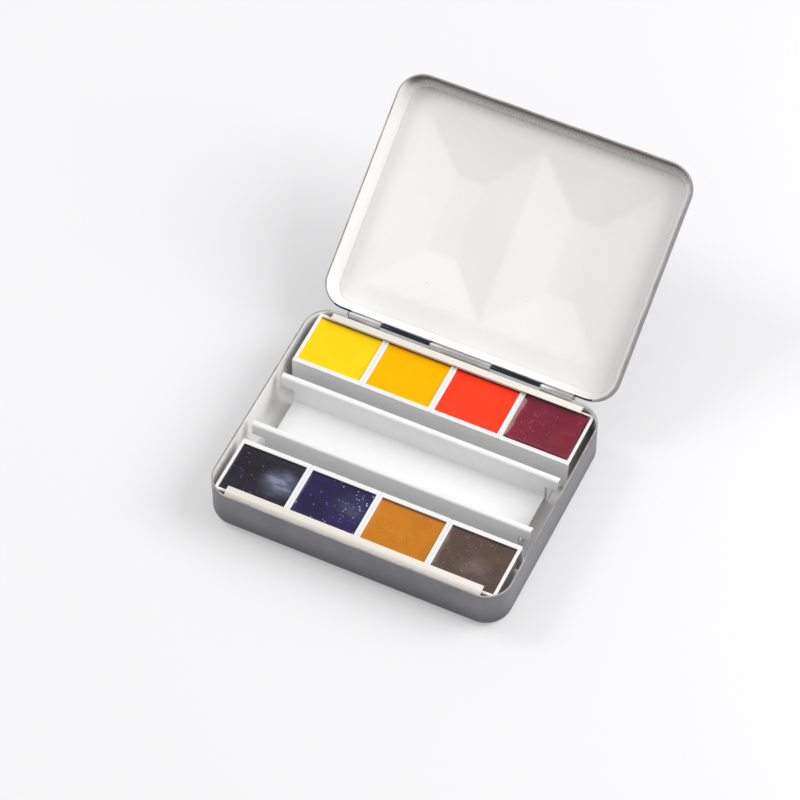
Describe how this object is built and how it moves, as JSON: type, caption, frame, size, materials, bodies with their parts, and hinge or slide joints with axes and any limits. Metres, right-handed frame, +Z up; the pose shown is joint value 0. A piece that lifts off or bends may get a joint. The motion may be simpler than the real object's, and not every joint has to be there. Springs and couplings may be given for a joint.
{
  "type": "watercolour paint set",
  "caption": "Small hinged watercolour tin: half pans of paint in a lift-out folded tray with a brush channel, and an open lid pressed into mixing wells.",
  "frame": {"origin": "centre of the tin's flat underside", "axes": "+Z up out of the table, +X along the hinge, +Y from the front to the hinge"},
  "size_m": [0.082, 0.1215, 0.0486],
  "materials": {
    "tin_metal": "satin grey outside, white enamel inside",
    "lid_metal": "white enamel inside, satin grey outside",
    "wire": "bare drawn wire",
    "tray_enamel": "white enamel on folded sheet",
    "pan_plastic": "white moulded plastic",
    "paint_lemon_yellow": "dried watercolour cake",
    "paint_golden_yellow": "dried watercolour cake",
    "paint_vermilion": "dried watercolour cake",
    "paint_crimson": "dried watercolour cake",
    "paint_indigo": "dried watercolour cake",
    "paint_violet": "dried watercolour cake",
    "paint_ochre": "dried watercolour cake",
    "paint_umber": "dried watercolour cake"
  },
  "bodies": {
    "base": {"tin_base": "tin_metal", "hinge_pin": "wire"},
    "lid": {"tin_lid": "lid_metal"},
    "tray": {"pan_tray": "tray_enamel"},
    "pan_lemon_yellow": {"pan_lemon_yellow": "pan_plastic", "paint_lemon_yellow": "paint_lemon_yellow"},
    "pan_golden_yellow": {"pan_golden_yellow": "pan_plastic", "paint_golden_yellow": "paint_golden_yellow"},
    "pan_vermilion": {"pan_vermilion": "pan_plastic", "paint_vermilion": "paint_vermilion"},
    "pan_crimson": {"pan_crimson": "pan_plastic", "paint_crimson": "paint_crimson"},
    "pan_indigo": {"pan_indigo": "pan_plastic", "paint_indigo": "paint_indigo"},
    "pan_violet": {"pan_violet": "pan_plastic", "paint_violet": "paint_violet"},
    "pan_ochre": {"pan_ochre": "pan_plastic", "paint_ochre": "paint_ochre"},
    "pan_umber": {"pan_umber": "pan_plastic", "paint_umber": "paint_umber"}
  },
  "joints": [
    {"name": "lid_hinge", "type": "hinge", "parent": "base", "child": "lid", "pos_m": [0, 0.03275, 0.0133], "axis": [-1, 0, 0], "range_deg": [-147, 0]},
    {"name": "tray_lift", "type": "slide", "parent": "base", "child": "tray", "axis": [0, 0, 1], "range_m": [0, 0.025]},
    {"name": "lemon_yellow_tip", "type": "hinge", "parent": "tray", "child": "pan_lemon_yellow", "pos_m": [0, 0.03, 0.0132], "axis": [-1, 0, 0], "range_deg": [0, 8]},
    {"name": "golden_yellow_tip", "type": "hinge", "parent": "tray", "child": "pan_golden_yellow", "pos_m": [0, 0.03, 0.0132], "axis": [-1, 0, 0], "range_deg": [0, 8]},
    {"name": "vermilion_tip", "type": "hinge", "parent": "tray", "child": "pan_vermilion", "pos_m": [0, 0.03, 0.0132], "axis": [-1, 0, 0], "range_deg": [0, 8]},
    {"name": "crimson_tip", "type": "hinge", "parent": "tray", "child": "pan_crimson", "pos_m": [0, 0.03, 0.0132], "axis": [-1, 0, 0], "range_deg": [0, 8]},
    {"name": "indigo_tip", "type": "hinge", "parent": "tray", "child": "pan_indigo", "pos_m": [0, -0.03, 0.0132], "axis": [1, 0, 0], "range_deg": [0, 8]},
    {"name": "violet_tip", "type": "hinge", "parent": "tray", "child": "pan_violet", "pos_m": [0, -0.03, 0.0132], "axis": [1, 0, 0], "range_deg": [0, 8]},
    {"name": "ochre_tip", "type": "hinge", "parent": "tray", "child": "pan_ochre", "pos_m": [0, -0.03, 0.0132], "axis": [1, 0, 0], "range_deg": [0, 8]},
    {"name": "umber_tip", "type": "hinge", "parent": "tray", "child": "pan_umber", "pos_m": [0, -0.03, 0.0132], "axis": [1, 0, 0], "range_deg": [0, 8]}
  ]
}
